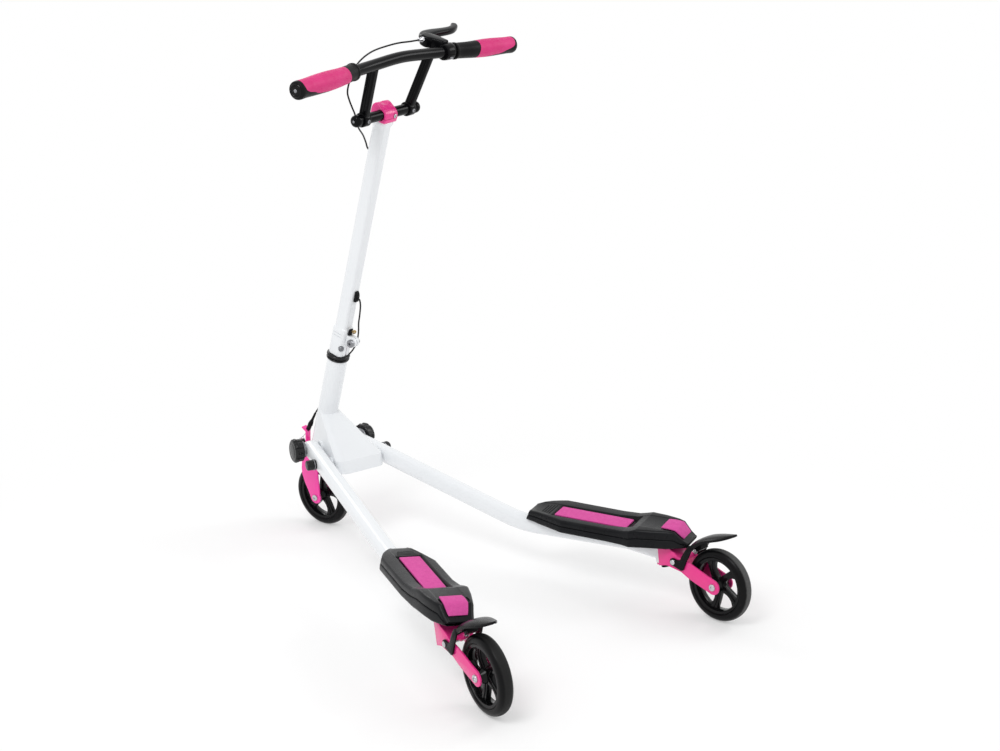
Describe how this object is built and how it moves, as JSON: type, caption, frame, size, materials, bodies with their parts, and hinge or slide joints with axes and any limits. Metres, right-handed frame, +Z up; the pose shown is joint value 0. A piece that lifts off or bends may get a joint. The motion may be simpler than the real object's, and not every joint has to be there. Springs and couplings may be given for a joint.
{
  "type": "carving scooter",
  "caption": "Carving scooter with a steered front wheel and hand brake, folding arms that carry footplates, and swivelling rear casters with foot brakes.",
  "frame": {"origin": "on the floor, on the centre plane, halfway between the rear axle line and the front axle", "axes": "+Z up, +Y forwards, +X to the rider's right"},
  "size_m": [0.579, 0.9393, 0.9674],
  "materials": {
    "white_paint": "gloss",
    "pink_paint": "gloss",
    "pink_grip": "matte",
    "pink_pad": "matte",
    "black_paint": "gloss",
    "black_plastic": "satin",
    "black_rubber": "matte",
    "plate_plastic": "satin",
    "tyre_black": "satin",
    "bright_steel": "polished",
    "grey_steel": "satin"
  },
  "bodies": {
    "frame": {"main_frame": "white_paint", "headset_bearing_upper": "grey_steel", "headset_bearing_lower": "black_plastic", "pivot_bolt_left": "grey_steel", "pivot_bolt_right": "grey_steel"},
    "steering": {"fork": "pink_paint", "headset_collar": "black_plastic", "steering_column": "white_paint", "column_clamp_bolt": "black_paint", "cable_hook": "black_plastic", "cable_grommet": "black_rubber", "stem_clamp": "pink_paint", "stem_bolt": "bright_steel", "crossbar": "black_paint", "strut_left": "black_paint", "strut_right": "black_paint", "handlebar": "black_paint", "grip_core_left": "black_rubber", "grip_core_right": "black_rubber", "grip_sleeve_left": "pink_grip", "grip_sleeve_right": "pink_grip", "brake_perch": "black_paint", "barrel_adjuster": "bright_steel", "brake_cable_upper": "black_plastic", "brake_cable_lower": "black_plastic", "brake_ferrule": "black_rubber", "front_axle": "bright_steel"},
    "front_wheel": {"front_tyre": "tyre_black", "front_core": "black_plastic"},
    "lever": {"brake_lever": "black_paint"},
    "front_brake": {"brake_arm": "black_plastic"},
    "button": {"column_button": "bright_steel"},
    "arm_left": {"arm_left": "white_paint", "footplate_left": "plate_plastic", "main_pad_left": "pink_pad", "heel_pad_left": "pink_pad"},
    "knob_left": {"pivot_knob_left": "black_plastic"},
    "index_left": {"index_pin_left": "black_plastic"},
    "caster_left": {"caster_fork_left": "pink_paint", "kingpin_left": "black_paint", "fender_pin_left": "bright_steel", "fender_spring_left": "bright_steel", "rear_left_axle": "bright_steel"},
    "fender_left": {"fender_left": "black_plastic"},
    "wheel_left": {"rear_left_tyre": "tyre_black", "rear_left_core": "black_plastic"},
    "arm_right": {"arm_right": "white_paint", "footplate_right": "plate_plastic", "main_pad_right": "pink_pad", "heel_pad_right": "pink_pad"},
    "knob_right": {"pivot_knob_right": "black_plastic"},
    "index_right": {"index_pin_right": "black_plastic"},
    "caster_right": {"caster_fork_right": "pink_paint", "kingpin_right": "black_paint", "fender_pin_right": "bright_steel", "fender_spring_right": "bright_steel", "rear_right_axle": "bright_steel"},
    "fender_right": {"fender_right": "black_plastic"},
    "wheel_right": {"rear_right_tyre": "tyre_black", "rear_right_core": "black_plastic"}
  },
  "joints": [
    {"name": "steer", "type": "hinge", "parent": "frame", "child": "steering", "pos_m": [0, 0.39316, 0.1891], "axis": [0, -0.3256, 0.9455], "range_deg": [-54, 26]},
    {"name": "front_spin", "type": "hinge", "parent": "steering", "child": "front_wheel", "pos_m": [0.00677, 0.40829, 0.06234], "axis": [0.9699, 0.2303, 0.0793], "continuous": true},
    {"name": "lever_pull", "type": "hinge", "parent": "steering", "child": "lever", "pos_m": [0.10011, 0.18282, 0.94374], "axis": [0, 0.3256, -0.9455], "range_deg": [0, 24], "stiffness_Nm_per_rad": 1, "springref_deg": -11.46},
    {"name": "front_brake_turn", "type": "hinge", "parent": "steering", "child": "front_brake", "pos_m": [-0.00877, 0.44506, 0.14563], "axis": [0.9699, 0.2303, 0.0793], "range_deg": [0, 6]},
    {"name": "button_press", "type": "slide", "parent": "steering", "child": "button", "axis": [0.5135, 0.8113, 0.2794], "range_m": [0, 0.0016], "stiffness_N_per_m": 500, "springref_m": -0.002},
    {"name": "fold_left", "type": "hinge", "parent": "frame", "child": "arm_left", "pos_m": [-0.0494, 0.3602, 0.179], "axis": [-0.9703, 0.2419, 0], "range_deg": [0, 60]},
    {"name": "knob_left_turn", "type": "hinge", "parent": "frame", "child": "knob_left", "pos_m": [-0.0494, 0.3602, 0.179], "axis": [-0.9703, 0.2419, 0], "range_deg": [0, 360]},
    {"name": "index_left_pull", "type": "slide", "parent": "arm_left", "child": "index_left", "axis": [-0.9703, 0.2419, 0], "range_m": [0, 0.008], "stiffness_N_per_m": 600, "springref_m": -0.004},
    {"name": "swivel_left", "type": "hinge", "parent": "arm_left", "child": "caster_left", "pos_m": [-0.2437, -0.2829, 0.08632], "axis": [0, 0.304, 0.9527], "range_deg": [-23.8, 44.2]},
    {"name": "fender_left_press", "type": "hinge", "parent": "caster_left", "child": "fender_left", "pos_m": [-0.25045, -0.32293, 0.08432], "axis": [0.9842, -0.1687, 0.0538], "range_deg": [0, 2.7], "stiffness_Nm_per_rad": 5, "springref_deg": -5.73, "deforming": ["fender_spring_left"]},
    {"name": "spin_left", "type": "hinge", "parent": "caster_left", "child": "wheel_left", "pos_m": [-0.26344, -0.40582, 0.06196], "axis": [0.9842, -0.1687, 0.0538], "continuous": true},
    {"name": "fold_right", "type": "hinge", "parent": "frame", "child": "arm_right", "pos_m": [0.0494, 0.3602, 0.179], "axis": [-0.9703, -0.2419, 0], "range_deg": [0, 60]},
    {"name": "knob_right_turn", "type": "hinge", "parent": "frame", "child": "knob_right", "pos_m": [0.0494, 0.3602, 0.179], "axis": [0.9703, 0.2419, 0], "range_deg": [0, 360]},
    {"name": "index_right_pull", "type": "slide", "parent": "arm_right", "child": "index_right", "axis": [0.9703, 0.2419, 0], "range_m": [0, 0.008], "stiffness_N_per_m": 600, "springref_m": -0.004},
    {"name": "swivel_right", "type": "hinge", "parent": "arm_right", "child": "caster_right", "pos_m": [0.2437, -0.2829, 0.08632], "axis": [0, 0.304, 0.9527], "range_deg": [-37.2, 30.8]},
    {"name": "fender_right_press", "type": "hinge", "parent": "caster_right", "child": "fender_right", "pos_m": [0.24583, -0.32344, 0.08448], "axis": [0.9984, 0.0532, -0.017], "range_deg": [0, 2.7], "stiffness_Nm_per_rad": 5, "springref_deg": -5.73, "deforming": ["fender_spring_right"]},
    {"name": "spin_right", "type": "hinge", "parent": "caster_right", "child": "wheel_right", "pos_m": [0.24992, -0.40733, 0.06245], "axis": [0.9984, 0.0532, -0.017], "continuous": true}
  ],
  "couplings": [
    {"joint": "front_brake_turn", "follows": "lever_pull", "ratio": 0.25}
  ]
}
